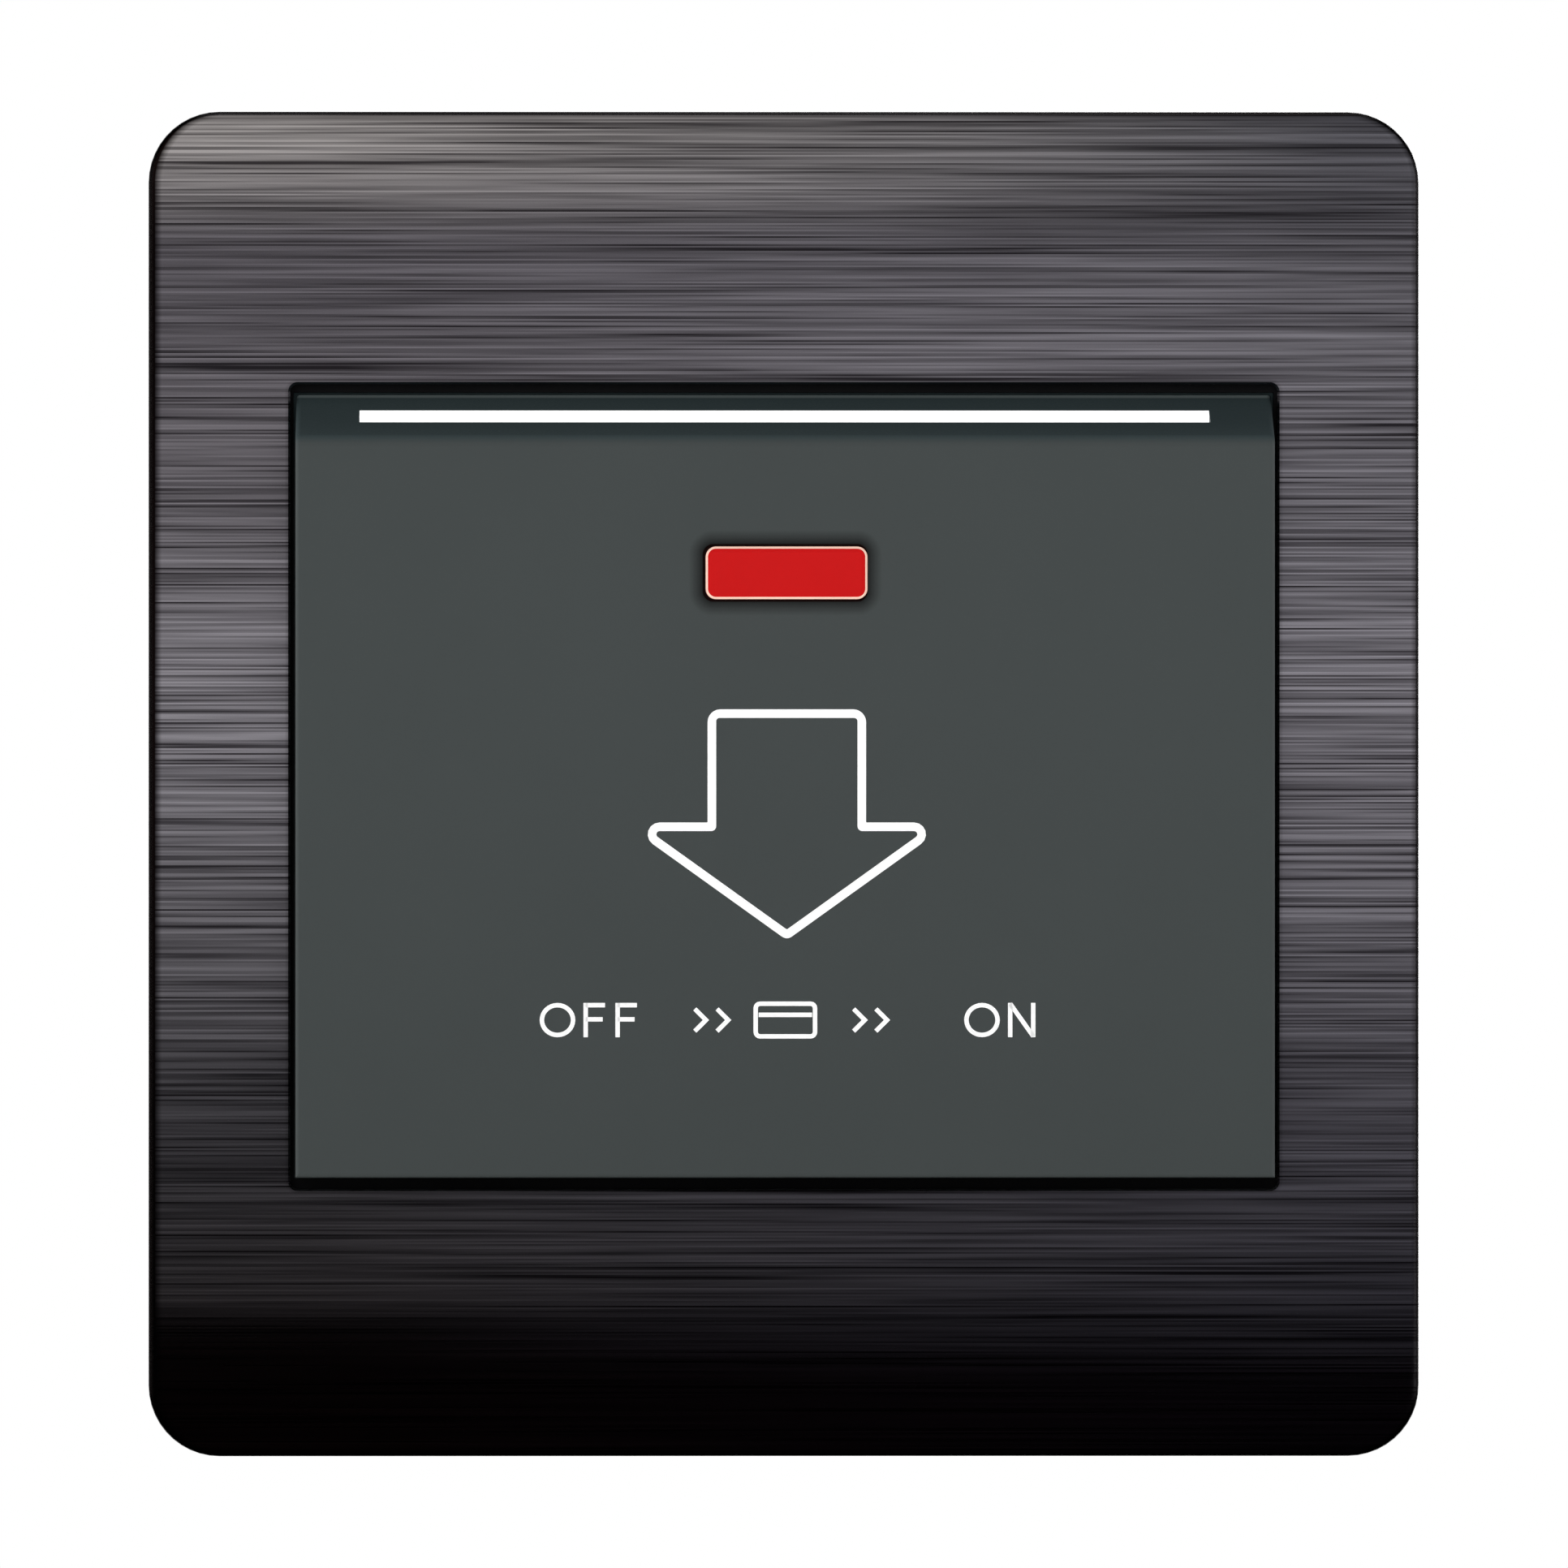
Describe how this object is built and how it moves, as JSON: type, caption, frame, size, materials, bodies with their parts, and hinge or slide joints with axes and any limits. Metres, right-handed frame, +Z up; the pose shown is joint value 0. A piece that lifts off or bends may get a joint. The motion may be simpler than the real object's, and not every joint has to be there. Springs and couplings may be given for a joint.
{
  "type": "key card switch",
  "caption": "Wall key card switch: brushed dark plate round a raised grey card pocket with a sloping top, lit card slot and red lamp; lever, snap switch and relay module behind",
  "frame": {"origin": "on the wall's surface, midway between the two wall screws", "axes": "+X to the right seen from the room, +Y into the wall, +Z up; the front faces -Y"},
  "size_m": [0.086, 0.0434, 0.091],
  "materials": {
    "face_metal": "dark anodised, brushed sideways",
    "black_abs": "fine-textured black moulding",
    "pocket_grey": "slate grey, satin",
    "opal": "opal, lit from behind",
    "lens_red": "translucent red, glossy",
    "light_abs": "light grey moulding",
    "spring_steel": "bright spring steel",
    "plated_steel": "zinc plated",
    "white_pom": "white, low friction",
    "switch_black": "black thermoset",
    "switch_red": "red plunger",
    "copper_alloy": "spring copper",
    "silver_contact": "silver rivets",
    "brass": "plain",
    "board_green": "solder mask",
    "relay_blue": "blue cover",
    "relay_black": "black base",
    "bobbin_white": "natural nylon",
    "winding_copper": "enamelled copper",
    "soft_iron": "soft iron",
    "film_yellow": "boxed film capacitor",
    "can_sleeve": "sleeved can",
    "disc_blue": "dipped coating",
    "resistor_tan": "lacquered",
    "chip_black": "moulded epoxy",
    "lamp_white": "lamp body",
    "lamp_red": "lamp body",
    "housing_grey": "grey flame-retardant moulding",
    "terminal_grey": "mid grey moulding"
  },
  "bodies": {
    "base": {"carrier": "black_abs", "frame_clips": "spring_steel", "card_channel": "light_abs", "lever_pin": "plated_steel", "lever_spring": "spring_steel", "switch_case": "switch_black", "switch_cover": "switch_black", "switch_terminals": "brass", "circuit_board": "board_green", "relay_cover": "relay_blue", "relay_base": "relay_black", "relay_bobbin": "bobbin_white", "relay_winding": "winding_copper", "relay_yoke": "soft_iron", "relay_contacts": "brass", "film_capacitor": "film_yellow", "electrolytic_capacitor": "can_sleeve", "varistor": "disc_blue", "pin_header": "brass", "resistors": "resistor_tan", "rectifier": "chip_black", "delay_chip": "chip_black", "driver_transistor": "chip_black", "led_board": "board_green", "slot_leds": "lamp_white", "indicator_led": "lamp_red", "led_board_screws": "plated_steel", "wall_screws": "plated_steel", "rear_housing": "housing_grey", "stack_screws": "plated_steel", "terminal_block": "terminal_grey", "terminal_clamps": "brass", "terminal_screws": "plated_steel"},
    "front": {"face_plate": "face_metal", "snap_frame": "black_abs", "pocket_cover": "pocket_grey", "indicator_lens": "lens_red", "slot_light_guide": "opal"},
    "lever": {"card_lever": "white_pom"},
    "plunger": {"switch_plunger": "switch_red"},
    "leaf": {"contact_leaf": "copper_alloy", "leaf_contacts": "silver_contact"},
    "armature": {"relay_armature": "soft_iron", "relay_blade": "copper_alloy"}
  },
  "joints": [
    {"name": "front_snap", "type": "slide", "parent": "base", "child": "front", "axis": [0, -1, 0], "range_m": [0, 0.02], "deforming": ["frame_clips"]},
    {"name": "lever_swing", "type": "hinge", "parent": "base", "child": "lever", "pos_m": [0, -0.0071, -0.002], "axis": [1, 0, 0], "range_deg": [0, 4.4], "stiffness_Nm_per_rad": 0.08, "springref_deg": -1.72, "deforming": ["lever_spring"]},
    {"name": "plunger_travel", "type": "slide", "parent": "base", "child": "plunger", "axis": [0, 1, 0], "range_m": [0, 0.0008]},
    {"name": "leaf_swing", "type": "hinge", "parent": "base", "child": "leaf", "pos_m": [-0.013, -0.00063, -0.012], "axis": [0, 0, 1], "range_deg": [0, 3.75]},
    {"name": "armature_swing", "type": "hinge", "parent": "base", "child": "armature", "pos_m": [-0.00226, 0.0003, 0.00695], "axis": [0, 0, 1], "range_deg": [0, 4.4], "stiffness_Nm_per_rad": 0.05, "springref_deg": -2.29}
  ],
  "couplings": [
    {"joint": "plunger_travel", "follows": "lever_swing", "m_per_rad": 0.01},
    {"joint": "leaf_swing", "follows": "lever_swing", "ratio": 0.84}
  ]
}
